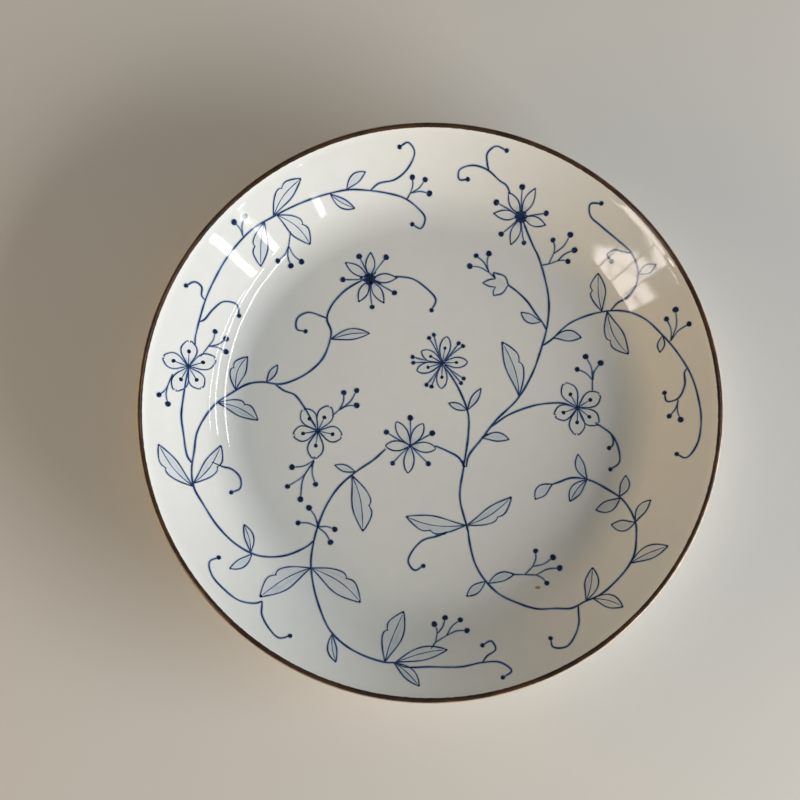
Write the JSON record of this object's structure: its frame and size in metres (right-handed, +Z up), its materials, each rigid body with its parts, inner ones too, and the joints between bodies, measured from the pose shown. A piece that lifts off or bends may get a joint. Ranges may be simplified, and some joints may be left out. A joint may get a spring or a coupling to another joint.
{
  "type": "china dinner plate",
  "caption": "Round porcelain dinner plate with a flat well, soft shoulder, sloping rim, low foot ring, brown lip line and a painted blue scrolling vine.",
  "frame": {"origin": "centre of the foot ring's resting face, on the surface that the plate stands on", "axes": "+Z up, out of the food well; +X to the right and +Y away from the eater, as the painting is seen"},
  "size_m": [0.27, 0.27, 0.0269],
  "materials": {
    "biscuit_porcelain": "matte",
    "clear_glaze": "gloss",
    "iron_brown_glaze": "gloss",
    "cobalt_line": "gloss",
    "cobalt_wash": "gloss"
  },
  "bodies": {
    "root": {"porcelain_body": "biscuit_porcelain", "face_glaze": "clear_glaze", "back_glaze": "clear_glaze", "base_glaze": "clear_glaze", "lip_band": "iron_brown_glaze", "cobalt_stems": "cobalt_line", "cobalt_tendrils": "cobalt_line", "cobalt_leaves": "cobalt_wash", "cobalt_blossoms": "cobalt_wash", "cobalt_berries": "cobalt_line"}
  },
  "joints": []
}
